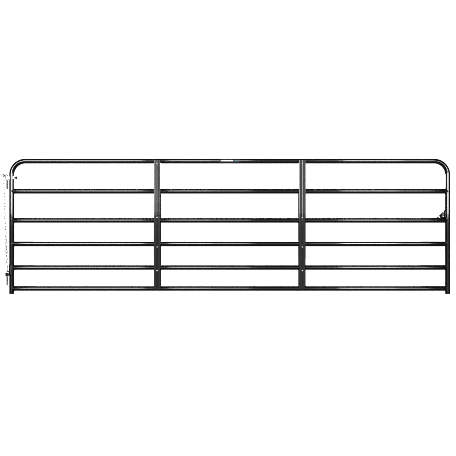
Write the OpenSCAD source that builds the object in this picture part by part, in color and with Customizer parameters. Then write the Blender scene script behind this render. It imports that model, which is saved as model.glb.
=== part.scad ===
// Six rail livestock gate of welded steel tube, with its hinge hooks and latch chain.
// Millimetres, +X along the gate to the latch end, +Y to the back, +Z up.
// The origin is on the ground under the middle of the whole part.

/* [Gate] */
// Width of the gate, outside to outside of the posts
gate_w = 4150; // [2400:10:5600]
// Height of the gate from the feet to the top of the top rail
gate_h = 1272; // [1060:1:1600]
// Outside diameter of every tube
tube_d = 44.45; // [36:0.05:54]
// Wall of every tube
tube_wall = 0.9; // [0.7:0.1:3]
// Radius of the two top corners, to the middle of the tube
bend_r = 127; // [90:1:180]

/* [Rails] */
// Height of the middle of the second rail
rail_2_z = 966; // [880:1:980]
// Height of the middle of the third rail
rail_3_z = 692; // [640:1:780]
// Height of the middle of the fourth rail
rail_4_z = 469.6; // [400:0.2:560]
// Height of the middle of the fifth rail
rail_5_z = 248.2; // [200:0.2:300]
// Height of the middle of the bottom rail
bottom_rail_z = 50.8; // [40:0.2:75]

/* [Stays] */
// Distance from the middle of the gate to the middle of each stay
stay_x = 680.6; // [400:0.2:900]
// Width of a stay's face
stay_w = 63.5; // [50:0.5:90]
// Space inside a stay between a rail and the groove, and as much behind the rail
stay_room = 1.875; // [0.5:0.125:12]
// Sheet that the stays are formed from
stay_t = 1.9; // [1.2:0.1:3]
// Outside radius of the folds between face and flanges
stay_fold_r = 6; // [3:0.5:10]
// Depth of the pressed groove down the middle of the face
groove_depth = 3; // [1:0.5:4]
// Radius of the tool that presses the groove
groove_r = 5; // [4:0.5:8]
// How far each end of a stay reaches past the middle of the end rails
stay_past = 6; // [2:0.5:12]
// Diameter of the round holes in a stay's face
face_hole_d = 10; // [6:0.5:14]
// Distance from the rail to the edge of the face hole beside it
face_hole_gap = 0.5; // [0.5:0.5:6]

/* [Hinges] */
// Distance from the post's face to the line that the gate turns on
hinge_out = 20.8; // [18:0.1:40]
// Distance from the top of the gate to the middle of the upper eye
upper_eye_drop = 180; // [160:1:260]
// Height of the middle of the lower eye
lower_eye_z = 184; // [130:1:200]
// Outside diameter of the eyes
eye_d = 33; // [28:0.5:40]
// Height of the eyes
eye_h = 28; // [20:1:40]
// Diameter of the hinge rods: the eye bolt and both hooks
rod_d = 15.88; // [12:0.02:18]
// Length of the eye bolt beyond the nut
bolt_past_nut = 3.9; // [2:0.1:40]
// Space between the washer and the nut, which lets the bolt slide
nut_slack = 10.675; // [1:0.025:30]
// Width of the nut across its flats
nut_af = 24; // [21:0.5:30]
// Thickness of the nut
nut_t = 14; // [8:0.5:16]
// Height of a saddle washer
washer_h = 26; // [20:1:36]
// Width of a saddle washer from front to back
washer_w = 36; // [26:1:40]
// How far a saddle washer stands off the tube
washer_proud = 4; // [3:0.5:8]
// How far a saddle washer wraps back along the tube
washer_wrap = 7.2; // [4:0.2:8]
// Height of the lower hinge's saddle
saddle_h = 108; // [80:1:140]
// Thickness of the lower hinge's saddle
saddle_t = 3.7; // [2.5:0.1:6]
// Angle of the post that the saddle wraps around
saddle_wrap = 170; // [120:5:175]
// Slope of the saddle's lower edge
saddle_slope = 16; // [0:1:30]

/* [Hooks] */
// Length of a hook's threaded leg below its eye
hook_leg = 93; // [60:1:150]
// Plain length of the leg between the eye and the thread
hook_plain = 6; // [2:1:20]
// How much the thread's radius is rolled below the rod's
thread_rolled = 0.25; // [0.1:0.05:0.6]
// Straight length of a hook's pin after the bend
hook_pin = 27; // [20:1:70]
// Radius of the bend, to the middle of the rod
hook_bend_r = 16; // [12:0.5:24]
// How far the pin droops below level
hook_droop = 18; // [0:1:30]
// Length of the taper at the end of the threaded leg
hook_taper = 12; // [6:1:20]
// Radius left at the end of the taper
hook_taper_r = 2.5; // [1:0.5:4]
// Chamfer at the end of the pin
pin_chamfer = 1.2; // [0.5:0.1:2]
// How much the pin's radius is turned below the rod's
pin_turned = 0.1; // [0.08:0.01:0.3]

/* [Chain] */
// Diameter of the chain's wire
wire_d = 4.8; // [3.5:0.1:6]
// Length inside one link
link_in_l = 31.4; // [22:0.1:38]
// Width inside one link
link_in_w = 9.4; // [7.5:0.1:14]
// Radius of the end ring, to the middle of its wire
ring_r = 15.5; // [15.2:0.1:22]
// Distance of the end ring from the hinge line
ring_out = 30; // [26:0.5:34]
// Space kept between the last link and the lower hook
chain_end_gap = 3; // [2:0.5:60]

/* [Latch plate] */
// Length of the plate along the third rail
latch_l = 85; // [70:1:140]
// Height of the plate up the post
latch_h = 80; // [70:1:140]
// Thickness of the plate
latch_t = 6; // [4:0.5:10]
// Diameter of the round hole
latch_hole_d = 15; // [10:0.5:17]
// Distance from the post to the middle of the round hole
latch_hole_x = 58.5; // [52:0.5:62]
// Height of the middle of the round hole above the rail
latch_hole_z = 10.5; // [9:0.5:14]
// Width of the slot that grips the chain
slot_w = 6.8; // [5.5:0.1:9]
// Distance from the post to the middle of the slot
slot_x = 20.9; // [16:0.1:30]
// Diameter of the round bottom of the slot
slot_eye_d = 11.4; // [10:0.2:14]
// Height of the middle of the round bottom above the rail
slot_eye_z = 15.8; // [12:0.2:24]
// Width of the flared mouth of the slot
slot_mouth_w = 15; // [10:0.5:20]
// Depth of the flared mouth of the slot
slot_mouth_h = 12; // [6:0.5:16]

/* [Label] */
// Length of the label
label_l = 186; // [80:1:300]
// Distance of the label's middle from the middle of the gate
label_x = -2; // [-200:1:200]
// Angle of the tube that the label covers
label_wrap = 74; // [40:1:120]
// Thickness of the label
label_t = 0.3; // [0.2:0.1:0.8]

/* [Clearances] */
// Gap at a coped tube end, and under a welded plate or saddle
weld_gap = 0.3; // [0.1:0.05:0.5]
// Gap around a rail where it passes through a stay
punch_gap = 0.3; // [0.1:0.05:1]
// Gap around the eye bolt in the post and the washers
bolt_gap = 0.3; // [0.1:0.05:1]
// Running gap around a hook in its eye
pin_gap = 0.1; // [0.01:0.01:0.4]
// Gap between pieces that rest on each other
seat_gap = 0.3; // [0.1:0.05:0.5]
// Gap at the bow of each link, and under the end ring
link_gap = 0.3; // [0.1:0.05:0.5]
// Gap between the nut's thread and the bolt's
thread_gap = 0.1; // [0.05:0.05:0.3]

/* [Hidden] */
$fn = 96;

black = [0.03, 0.03, 0.035];
zinc = [0.72, 0.73, 0.74];
over = 1;                                   // overshoot of a cut past the face that it leaves

tube_r = tube_d / 2;
bore_r = tube_r - tube_wall;
post_x = gate_w / 2 - tube_r;               // middle of a post, from the middle of the gate
top_z = gate_h - tube_r;                    // middle of the top rail
rail_z = [top_z, rail_2_z, rail_3_z, rail_4_z, rail_5_z, bottom_rail_z];
stay_d = tube_d + 2 * (stay_room + groove_depth + stay_t);      // from its face to its flanges' edges

rod_r = rod_d / 2;
hinge_x = -gate_w / 2 - hinge_out;          // line that the gate turns on
upper_eye_z = gate_h - upper_eye_drop;
eye_bore_r = rod_r + pin_gap;
washer_out = tube_r + weld_gap + washer_proud - seat_gap;   // outer face, from the middle of the post
nut_x = washer_out + nut_slack;             // near face of the nut, from the middle of the post
bolt_end = nut_x + nut_t + bolt_past_nut;

// A hook's pin, seen from the side: how far it reaches from the hinge line, and its crown
pin_r = rod_r - pin_turned;
hook_reach = hook_bend_r * (1 + sin(hook_droop)) + hook_pin * cos(hook_droop)
    + (pin_r - pin_chamfer) * sin(hook_droop);
hook_rise = eye_h / 2 + seat_gap;           // foot of the bend above the middle of the eye
hook_crown = hook_rise + hook_bend_r + rod_r;

// The end ring hangs on the sloping pin, ring_out from the hinge line
wire_r = wire_d / 2;
pin_run = ring_out - hook_bend_r * (1 + sin(hook_droop));
pin_z = upper_eye_z + hook_rise + hook_bend_r * cos(hook_droop) - pin_run * tan(hook_droop);
ring_z = pin_z + (rod_r + link_gap + wire_r) / cos(hook_droop) - ring_r;

// The chain: each link's bow sits link_gap clear of the last one's
link_w = link_in_w + wire_d;                // width between the middles of the wire
link_span = link_in_l + wire_d;             // length between the middles of the wire at the bows
link_pitch = link_in_l - link_gap;
chain_top = [hinge_x - ring_out, 0, ring_z - ring_r];
chain_room = chain_top[2] - wire_r - chain_end_gap - (lower_eye_z + hook_crown);
link_count = floor(chain_room / link_pitch);
lengths = 7;                                // lengths of chain that hinge on each other
plumb_links = 3;                            // links of the first length, which hang plumb
links_each = 2 * floor(link_count / (2 * lengths));
chain_lean = asin(ring_out / ((link_count - plumb_links) * link_pitch));

// The whole part is centred on the origin: the hooks reach past the gate on the left and at the back
gate_x = (hinge_out + hook_reach) / 2;
gate_y = -(hook_reach - stay_d / 2) / 2;

// A straight tube's outside or bore, along X between two ends
module bar_x(x0, x1, r) {
    translate([x0, 0, 0]) rotate([0, 90, 0]) cylinder(r = r, h = x1 - x0);
}

// The frame tube filled to a radius: each half has half the top rail, a corner and a post
module frame_rod(r, foot) {
    for (side = [0, 1]) mirror([side, 0, 0]) {
        translate([0, 0, top_z]) bar_x(0, post_x - bend_r, r);
        translate([post_x, 0, foot]) cylinder(r = r, h = top_z - bend_r - foot);
        translate([post_x - bend_r, 0, top_z - bend_r]) rotate([90, 0, 0])
            rotate_extrude(angle = 90) translate([bend_r, 0]) circle(r = r);
    }
}

module frame_tube() {
    color(black) difference() {
        frame_rod(tube_r, 0);
        frame_rod(bore_r, -over);
        translate([0, 0, upper_eye_z])
            bar_x(-post_x - tube_d, -post_x + tube_d, rod_r + bolt_gap);
    }
}

// A straight rail between the posts, its ends coped to their round sides
module rail(z) {
    color(black) difference() {
        translate([0, 0, z]) bar_x(-post_x, post_x, tube_r);
        translate([0, 0, z]) bar_x(-post_x - over, post_x + over, bore_r);
        for (side = [-1, 1]) translate([side * post_x, 0, z - tube_d])
            cylinder(r = tube_r + weld_gap, h = 2 * tube_d);
    }
}

// Section of a stay: a channel open to the back, with folded corners and a grooved face
module stay_outline(inset) {
    half = stay_w / 2 - inset;
    fold = stay_fold_r - inset;
    front = -stay_d / 2 + inset;
    back = stay_d / 2 + (inset > 0 ? over : 0);
    translate([-half, front + fold]) square([2 * half, back - front - fold]);
    translate([-half + fold, front]) square([2 * (half - fold), fold]);
    for (side = [-1, 1]) translate([side * (half - fold), front + fold]) circle(r = fold);
}

module stay_section() {
    groove_y = -stay_d / 2 + groove_depth - groove_r;
    difference() {
        union() {
            difference() {
                stay_outline(0);
                stay_outline(stay_t);
            }
            intersection() {
                stay_outline(0);
                translate([0, groove_y]) circle(r = groove_r + stay_t);
            }
        }
        translate([0, groove_y]) circle(r = groove_r);
    }
}

// Heights of the round holes in a stay's face, each beside a rail
face_hole_off = tube_r + face_hole_gap + face_hole_d / 2;
face_hole_z = [
    top_z - face_hole_off, rail_3_z + face_hole_off, rail_4_z - face_hole_off, rail_5_z - face_hole_off
];

module stay(x) {
    foot = bottom_rail_z - stay_past;
    color(black) translate([x, 0, 0]) difference() {
        translate([0, 0, foot]) linear_extrude(top_z + stay_past - foot) stay_section();
        for (z = rail_z) translate([0, 0, z])
            bar_x(-stay_w, stay_w, tube_r + punch_gap);
        for (z = face_hole_z) translate([0, 0, z]) rotate([90, 0, 0])
            cylinder(d = face_hole_d, h = stay_d);
    }
}

// Triangular plate in the corner of the right post and the third rail, seen from the front
module latch_outline() {
    mouth_z = latch_h * (1 - slot_x / latch_l);     // where the slot crosses the sloping edge
    difference() {
        polygon([[0, 0], [-latch_l, 0], [0, latch_h]]);
        translate([-latch_hole_x, latch_hole_z]) circle(d = latch_hole_d);
        translate([-slot_x, slot_eye_z]) circle(d = slot_eye_d);
        translate([-slot_x - slot_w / 2, slot_eye_z]) square([slot_w, latch_h]);
        translate([-slot_x, mouth_z]) polygon([
            [-slot_w / 2, -slot_mouth_h], [slot_w / 2, -slot_mouth_h],
            [slot_mouth_w / 2, slot_mouth_h], [-slot_mouth_w / 2, slot_mouth_h]
        ]);
    }
}

module latch_plate() {
    color(black) translate([post_x - tube_r - weld_gap, latch_t / 2, rail_3_z + tube_r + weld_gap])
        rotate([90, 0, 0]) linear_extrude(latch_t) latch_outline();
}

// Half sleeve on the left post, its lower edge sloping down towards the gate
module lower_hinge_saddle() {
    inner = tube_r + weld_gap;
    outer = inner + saddle_t;
    foot = lower_eye_z - eye_h / 2 - 1;
    color(black) translate([-post_x, 0, foot]) difference() {
        rotate([0, 0, 180 - saddle_wrap / 2]) rotate_extrude(angle = saddle_wrap)
            translate([inner, 0]) square([saddle_t, saddle_h]);
        translate([-outer, -tube_d, 0]) rotate([0, 180 - saddle_slope, 0]) translate([-4 * outer, 0, 0])
            cube([4 * outer, 2 * tube_d, tube_d]);
    }
}

// A short upright tube that a hook turns in
module eye_tube(z) {
    translate([hinge_x, 0, z - eye_h / 2]) cylinder(d = eye_d, h = eye_h);
}

module eye_bore(z) {
    translate([hinge_x, 0, z - eye_h / 2 - over]) cylinder(r = eye_bore_r, h = eye_h + 2 * over);
}

module lower_hinge_barrel() {
    color(black) difference() {
        eye_tube(lower_eye_z);
        eye_bore(lower_eye_z);
    }
}

module upper_eye_bolt() {
    color(zinc) difference() {
        union() {
            eye_tube(upper_eye_z);
            translate([0, 0, upper_eye_z]) bar_x(hinge_x, -post_x + bolt_end, rod_r);
        }
        eye_bore(upper_eye_z);
    }
}

// Two blocks that hug the post, one each side, with the bolt through them
module saddle_washers() {
    color(zinc) translate([-post_x, 0, upper_eye_z]) for (side = [0, 1]) mirror([side, 0, 0])
        difference() {
            translate([tube_r - washer_wrap, -washer_w / 2, -washer_h / 2])
                cube([washer_out - tube_r + washer_wrap, washer_w, washer_h]);
            translate([0, 0, -washer_h]) cylinder(r = tube_r + weld_gap, h = 2 * washer_h);
            bar_x(0, tube_d, rod_r + bolt_gap);
        }
}

module hinge_nut() {
    color(black) translate([-post_x + nut_x, 0, upper_eye_z]) rotate([0, 90, 0]) difference() {
        cylinder(d = nut_af / cos(30), h = nut_t, $fn = 6);
        translate([0, 0, -over]) cylinder(r = rod_r + thread_gap, h = nut_t + 2 * over);
    }
}

// A hook hangs in the eye at height z, its pin turned from -X by an angle about the hinge line
module hook(z, turn) {
    color(zinc) translate([hinge_x, 0, z]) rotate([0, 0, turn]) {
        translate([0, 0, -eye_h / 2 - hook_plain])
            cylinder(r = rod_r, h = hook_plain + eye_h / 2 + hook_rise);
        translate([0, 0, hook_taper - eye_h / 2 - hook_leg])
            cylinder(r = rod_r - thread_rolled, h = hook_leg - hook_taper - hook_plain);
        translate([0, 0, -eye_h / 2 - hook_leg])
            cylinder(r1 = hook_taper_r, r2 = rod_r - thread_rolled, h = hook_taper);
        translate([-hook_bend_r, 0, hook_rise]) rotate([90, 0, 0])
            rotate_extrude(angle = 90 + hook_droop) translate([hook_bend_r, 0]) circle(r = rod_r);
        translate([-hook_bend_r, 0, hook_rise]) rotate([0, -hook_droop, 0])
            translate([0, 0, hook_bend_r]) rotate([0, -90, 0]) {
                translate([0, 0, -over]) cylinder(r = pin_r, h = over + hook_pin - pin_chamfer);
                translate([0, 0, hook_pin - pin_chamfer])
                    cylinder(r1 = pin_r, r2 = pin_r - pin_chamfer, h = pin_chamfer);
            }
    }
}

module chain_ring() {
    color(zinc) translate([hinge_x - ring_out, 0, ring_z]) rotate([0, 90, 0])
        rotate_extrude() translate([ring_r, 0]) circle(r = wire_r);
}

// Lean of link k, and the middle of the wire at its lower bow
function lean(k) = k > plumb_links ? chain_lean : 0;
function bow(k) = k == 0 ? chain_top : bow(k - 1) + link_pitch * [sin(lean(k)), 0, -cos(lean(k))];

// One welded link, upright in the XZ plane, with its lower bow's wire centred on the origin
module link() {
    leg = link_span - link_w;
    translate([0, 0, link_w / 2]) {
        for (side = [-1, 1]) translate([side * link_w / 2, 0, 0]) cylinder(r = wire_r, h = leg);
        for (end = [0, 1]) translate([0, 0, end * leg]) rotate([90, end * 180, 0])
            rotate([0, 0, 180]) rotate_extrude(angle = 180) translate([link_w / 2, 0]) circle(r = wire_r);
    }
}

// A length of chain, from one link to another; even links stand across odd ones
module chain(first, last) {
    color(zinc) for (k = [first : last])
        translate(bow(k)) rotate([0, -lean(k), 0]) rotate([0, 0, k % 2 == 0 ? 90 : 0]) link();
}

function first_link(n) = n == 1 ? 1 : plumb_links + 1 + (n - 2) * links_each;
function last_link(n) = n == lengths ? link_count : plumb_links + (n - 1) * links_each;

module chain_length(n) {
    chain(first_link(n), last_link(n));
}

module label() {
    color(black) translate([label_x - label_l / 2, 0, top_z]) rotate([0, 90, 0])
        rotate([0, 0, -90 - label_wrap / 2]) rotate_extrude(angle = label_wrap)
            translate([tube_r + weld_gap, 0]) square([label_t, label_l]);
}

module place() {
    translate([gate_x, gate_y, 0]) children();
}

place() frame_tube();
place() rail(rail_2_z);  // rail_2
place() rail(rail_3_z);  // rail_3
place() rail(rail_4_z);  // rail_4
place() rail(rail_5_z);  // rail_5
place() rail(bottom_rail_z);  // bottom_rail
place() stay(-stay_x);  // stay_left
place() stay(stay_x);  // stay_right
place() latch_plate();
place() lower_hinge_saddle();
place() lower_hinge_barrel();
place() label();
place() upper_eye_bolt();
place() saddle_washers();
place() hinge_nut();
place() hook(upper_eye_z, 0);  // upper_hook
place() hook(lower_eye_z, -90);  // lower_hook
place() chain_ring();
place() chain_length(1);  // chain_1
place() chain_length(2);  // chain_2
place() chain_length(3);  // chain_3
place() chain_length(4);  // chain_4
place() chain_length(5);  // chain_5
place() chain_length(6);  // chain_6
place() chain_length(7);  // chain_7
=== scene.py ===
"""Finished looks of a six rail livestock gate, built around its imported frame.

Every piece is in metres in the part's own frame: +X along the gate to the latch end, +Y to the
back, +Z up, with the origin on the ground under the middle of the part.
"""

import logging
from collections.abc import Callable, Iterable, Mapping, Sequence
from dataclasses import dataclass
from enum import Enum
from math import asin, cos, degrees, pi, radians, sin, sqrt, tan, tau

import bmesh
import bpy
from mathutils import Matrix, Vector

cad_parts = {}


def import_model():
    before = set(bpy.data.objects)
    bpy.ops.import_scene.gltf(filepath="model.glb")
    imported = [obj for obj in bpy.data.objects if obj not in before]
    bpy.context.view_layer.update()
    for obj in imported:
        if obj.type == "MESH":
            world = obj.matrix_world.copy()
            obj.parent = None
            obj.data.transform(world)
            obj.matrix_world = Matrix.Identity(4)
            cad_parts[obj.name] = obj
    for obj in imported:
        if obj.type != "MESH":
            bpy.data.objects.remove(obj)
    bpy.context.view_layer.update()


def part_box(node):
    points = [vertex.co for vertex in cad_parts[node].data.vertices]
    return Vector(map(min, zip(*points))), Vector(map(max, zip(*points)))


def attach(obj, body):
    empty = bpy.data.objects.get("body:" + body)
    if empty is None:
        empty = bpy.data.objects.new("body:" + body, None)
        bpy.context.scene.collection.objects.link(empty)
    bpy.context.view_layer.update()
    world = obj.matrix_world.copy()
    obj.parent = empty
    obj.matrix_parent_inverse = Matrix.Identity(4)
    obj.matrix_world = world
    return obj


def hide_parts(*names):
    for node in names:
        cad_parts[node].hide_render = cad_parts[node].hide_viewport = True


LOG = logging.getLogger("gate")
MM = 0.001
UP = Vector((0.0, 0.0, 1.0))
WHITE = (1.0, 1.0, 1.0, 1.0)
SAME_SPOT = 1e-7  # points nearer each other than this are one point
WHOLE_TURN = tau - 1e-6  # a turn of at least this angle closes on itself
THREAD_JOIN = 0.004 * MM  # turns of a thread nearer each other than this are joined
Colour = tuple[float, float, float]


class Slot(Enum):
    """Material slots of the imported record."""

    BLACK_COAT = "black_coat"
    ZINC = "zinc"
    BLACK_NUT = "black_nut"
    LABEL = "label"


class Cut(Enum):
    """What is left when one closed shape meets another."""

    AWAY = "DIFFERENCE"
    SHARED = "INTERSECT"


# ---------------------------------------------------------------- finishes


class Sock:
    """A shader value that Python's operators work on, each one adding a Math node."""

    def __init__(self, nodes: "Nodes", socket: bpy.types.NodeSocket) -> None:
        """Wraps one socket.

        Args:
            nodes: The tree that the socket belongs to.
            socket: The socket.
        """
        self.nodes = nodes
        self.socket = socket

    def maths(self, operation: str, first: object, second: object) -> "Sock":
        """Adds one Math node.

        Args:
            operation: The node's operation.
            first: A value or a number for its first input.
            second: A value or a number for its second input.

        Returns:
            The node's result.
        """
        return self.nodes.node("ShaderNodeMath", {"operation": operation}, {0: first, 1: second})

    def __add__(self, other: object) -> "Sock":
        """This value plus another."""
        return self.maths("ADD", self, other)

    def __radd__(self, other: object) -> "Sock":
        """Another value plus this one."""
        return self.maths("ADD", other, self)

    def __mul__(self, other: object) -> "Sock":
        """This value times another."""
        return self.maths("MULTIPLY", self, other)

    def __rmul__(self, other: object) -> "Sock":
        """Another value times this one."""
        return self.maths("MULTIPLY", other, self)

    def __pow__(self, other: object) -> "Sock":
        """This value to a power."""
        return self.maths("POWER", self, other)

    def __rpow__(self, other: object) -> "Sock":
        """Another value to the power of this one."""
        return self.maths("POWER", other, self)


class Nodes:
    """A node tree that is filled one node at a time."""

    def __init__(self, tree: bpy.types.NodeTree) -> None:
        """Empties a tree.

        Args:
            tree: The tree of a material or of the world.
        """
        self.tree = tree
        tree.nodes.clear()

    def node(
        self, kind: str, settings: Mapping[str, object], inputs: Mapping[int | str, object],
        out: int | str = 0,
    ) -> Sock:
        """Adds one node of any type.

        Args:
            kind: The node's type.
            settings: Its properties, set first.
            inputs: Values, or wrapped links, for its sockets by name or number.
            out: The output socket to wrap.

        Returns:
            The chosen output, wrapped, or the first input of a node that has no output.
        """
        made = self.tree.nodes.new(kind)
        for name, value in settings.items():
            setattr(made, name, value)
        for key, value in inputs.items():
            if isinstance(value, Sock):
                self.tree.links.new(value.socket, made.inputs[key])
            else:
                made.inputs[key].default_value = value
        return Sock(self, made.outputs[out] if len(made.outputs) else made.inputs[0])


class Paint(Nodes):
    """A new node material, its surface one Principled shader."""

    def __init__(self, name: str) -> None:
        """Makes an empty material.

        Args:
            name: The material's name.
        """
        self.material = bpy.data.materials.new(name)
        self.material.use_nodes = True
        super().__init__(self.material.node_tree)

    def place(self) -> Sock:
        """The point on the piece, in metres."""
        return self.node("ShaderNodeTexCoord", {}, {}, "Object")

    def noise(self, size: float, detail: float = 2.0, stretch: Vector | None = None) -> Sock:
        """Soft random patches over a piece.

        Args:
            size: The patches' rough size, in metres.
            detail: How many finer layers are added.
            stretch: How much finer the pattern is along each axis, or None for the same on all.

        Returns:
            A value that varies about a half.
        """
        where = self.place()
        if stretch is not None:
            where = self.node("ShaderNodeMapping", {}, {"Vector": where, "Scale": stretch}, "Vector")
        look = {"Vector": where, "Scale": 1.0 / size, "Detail": detail}
        return self.node("ShaderNodeTexNoise", {}, look, "Fac")

    def grains(self, size: float) -> Sock:
        """A different value for each small cell of a piece.

        Args:
            size: The cells' rough size, in metres.

        Returns:
            A value between nought and one.
        """
        look = {"Vector": self.place(), "Scale": 1.0 / size}
        cell = self.node("ShaderNodeTexVoronoi", {"feature": "F1"}, look, "Color")
        return self.node("ShaderNodeSeparateColor", {}, {"Color": cell}, "Red")

    def blend(self, share: Sock, first: Colour, second: Colour) -> Sock:
        """A colour between two others.

        Args:
            share: How much of the second colour there is.
            first: A colour, as red, green and blue.
            second: A colour, as red, green and blue.

        Returns:
            The mixed colour.
        """
        kind = {"data_type": "RGBA", "clamp_factor": True}
        colours = {0: share, 6: (*first, 1.0), 7: (*second, 1.0)}
        return self.node("ShaderNodeMix", kind, colours, 2)

    def bump(self, height: Sock, depth: float) -> Sock:
        """A surface raised by a height.

        Args:
            height: A value that varies between nought and one.
            depth: The height that a value of one stands for, in metres.

        Returns:
            A normal for the shader.
        """
        look = {"Height": height, "Strength": 1.0, "Distance": depth}
        return self.node("ShaderNodeBump", {}, look, "Normal")

    def surface(self, inputs: Mapping[int | str, object]) -> bpy.types.Material:
        """Ends the material with its shader.

        Args:
            inputs: Values, or wrapped links, for the shader's sockets by name.

        Returns:
            The finished material.
        """
        shader = self.node("ShaderNodeBsdfPrincipled", {}, inputs, "BSDF")
        self.node("ShaderNodeOutputMaterial", {}, {"Surface": shader})
        return self.material


@dataclass(frozen=True)
class PowderCoat:
    """Gloss black powder coat, with the fine ripple that it sets with."""

    name: str = "powder_coat"
    thin: Colour = (0.0009, 0.0009, 0.0010)
    thick: Colour = (0.0018, 0.0018, 0.0020)
    patch: float = 90 * MM
    gloss: float = 0.05
    gloss_spread: float = 0.05
    ior: float = 1.8
    ripple: float = 2.6 * MM
    ripple_depth: float = 0.006 * MM
    run: float = 60 * MM
    run_depth: float = 0.02 * MM

    def material(self) -> bpy.types.Material:
        """Mixes the finish.

        Returns:
            The finish as a material.
        """
        paint = Paint(self.name)
        patches = paint.noise(self.patch, 3.0)
        ripple = paint.noise(self.ripple, 1.0)
        run = paint.noise(self.run, 1.0)
        metres_high = ripple * self.ripple_depth + run * self.run_depth
        return paint.surface({
            "Base Color": paint.blend(patches, self.thin, self.thick),
            "Roughness": self.gloss + patches * self.gloss_spread,
            "IOR": self.ior,
            "Normal": paint.bump(metres_high, 1.0),
        })


@dataclass(frozen=True)
class BrightZinc:
    """Bright zinc plate: pale grey metal, its small crystals each a little lighter or darker."""

    name: str = "bright_zinc"
    dull: Colour = (0.46, 0.47, 0.48)
    bright: Colour = (0.74, 0.75, 0.76)
    crystal: float = 2.2 * MM
    crystal_share: float = 0.45
    cloud: float = 14 * MM
    gloss: float = 0.17
    gloss_spread: float = 0.16
    pit: float = 0.7 * MM
    pit_depth: float = 0.012 * MM

    def material(self) -> bpy.types.Material:
        """Mixes the finish.

        Returns:
            The finish as a material.
        """
        paint = Paint(self.name)
        crystals = paint.grains(self.crystal)
        cloud = paint.noise(self.cloud, 3.0)
        pits = paint.noise(self.pit, 2.0)
        mottle = crystals * self.crystal_share + cloud * (1 - self.crystal_share)
        return paint.surface({
            "Base Color": paint.blend(mottle, self.dull, self.bright),
            "Metallic": 1.0,
            "Roughness": self.gloss + cloud * self.gloss_spread,
            "Normal": paint.bump(pits, self.pit_depth),
        })


@dataclass(frozen=True)
class BlackOxide:
    """Black oxide on steel: nearly black, with a faint oily sheen and paler rubbed places."""

    name: str = "black_oxide"
    deep: Colour = (0.012, 0.012, 0.014)
    rubbed: Colour = (0.06, 0.058, 0.056)
    rub: float = 1.6
    rub_edge: float = 3.0
    cloud: float = 6 * MM
    gloss: float = 0.34
    gloss_spread: float = 0.2
    metal: float = 0.6
    scratch: float = 0.8 * MM
    scratch_depth: float = 0.01 * MM

    def material(self) -> bpy.types.Material:
        """Mixes the finish.

        Returns:
            The finish as a material.
        """
        paint = Paint(self.name)
        cloud = paint.noise(self.cloud, 3.0)
        scratches = paint.noise(self.scratch, 2.0, Vector((0.2, 1.0, 1.0)))
        return paint.surface({
            "Base Color": paint.blend(cloud ** self.rub_edge * self.rub, self.deep, self.rubbed),
            "Metallic": self.metal,
            "Roughness": self.gloss + cloud * self.gloss_spread,
            "Normal": paint.bump(scratches, self.scratch_depth),
        })


@dataclass(frozen=True)
class PrintedFilm:
    """One ink of a printed plastic label, with a faint mottle from the press."""

    name: str
    ink: Colour
    worn: Colour
    mottle: float = 3 * MM
    gloss: float = 0.32
    gloss_spread: float = 0.1
    grain_depth: float = 0.01 * MM

    def material(self) -> bpy.types.Material:
        """Mixes the ink.

        Returns:
            The ink as a material.
        """
        paint = Paint(self.name)
        mottle = paint.noise(self.mottle, 3.0)
        return paint.surface({
            "Base Color": paint.blend(mottle, self.ink, self.worn),
            "Roughness": self.gloss + mottle * self.gloss_spread,
            "Normal": paint.bump(mottle, self.grain_depth),
        })


class Finishes:
    """Each finish of the gate, made once."""

    def __init__(self) -> None:
        """Makes the materials."""
        self.coat = PowderCoat().material()
        self.weld = PowderCoat("coated_weld", gloss=0.12, ripple=1.3 * MM).material()
        self.zinc = BrightZinc().material()
        self.oxide = BlackOxide().material()
        self.film = PrintedFilm("label_film", (0.012, 0.013, 0.016), (0.02, 0.021, 0.025)).material()
        self.white = PrintedFilm("label_white", (0.48, 0.48, 0.48), (0.40, 0.41, 0.42)).material()
        self.teal = PrintedFilm("label_teal", (0.02, 0.09, 0.115), (0.03, 0.11, 0.135)).material()


# ---------------------------------------------------------------- shapes


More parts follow.
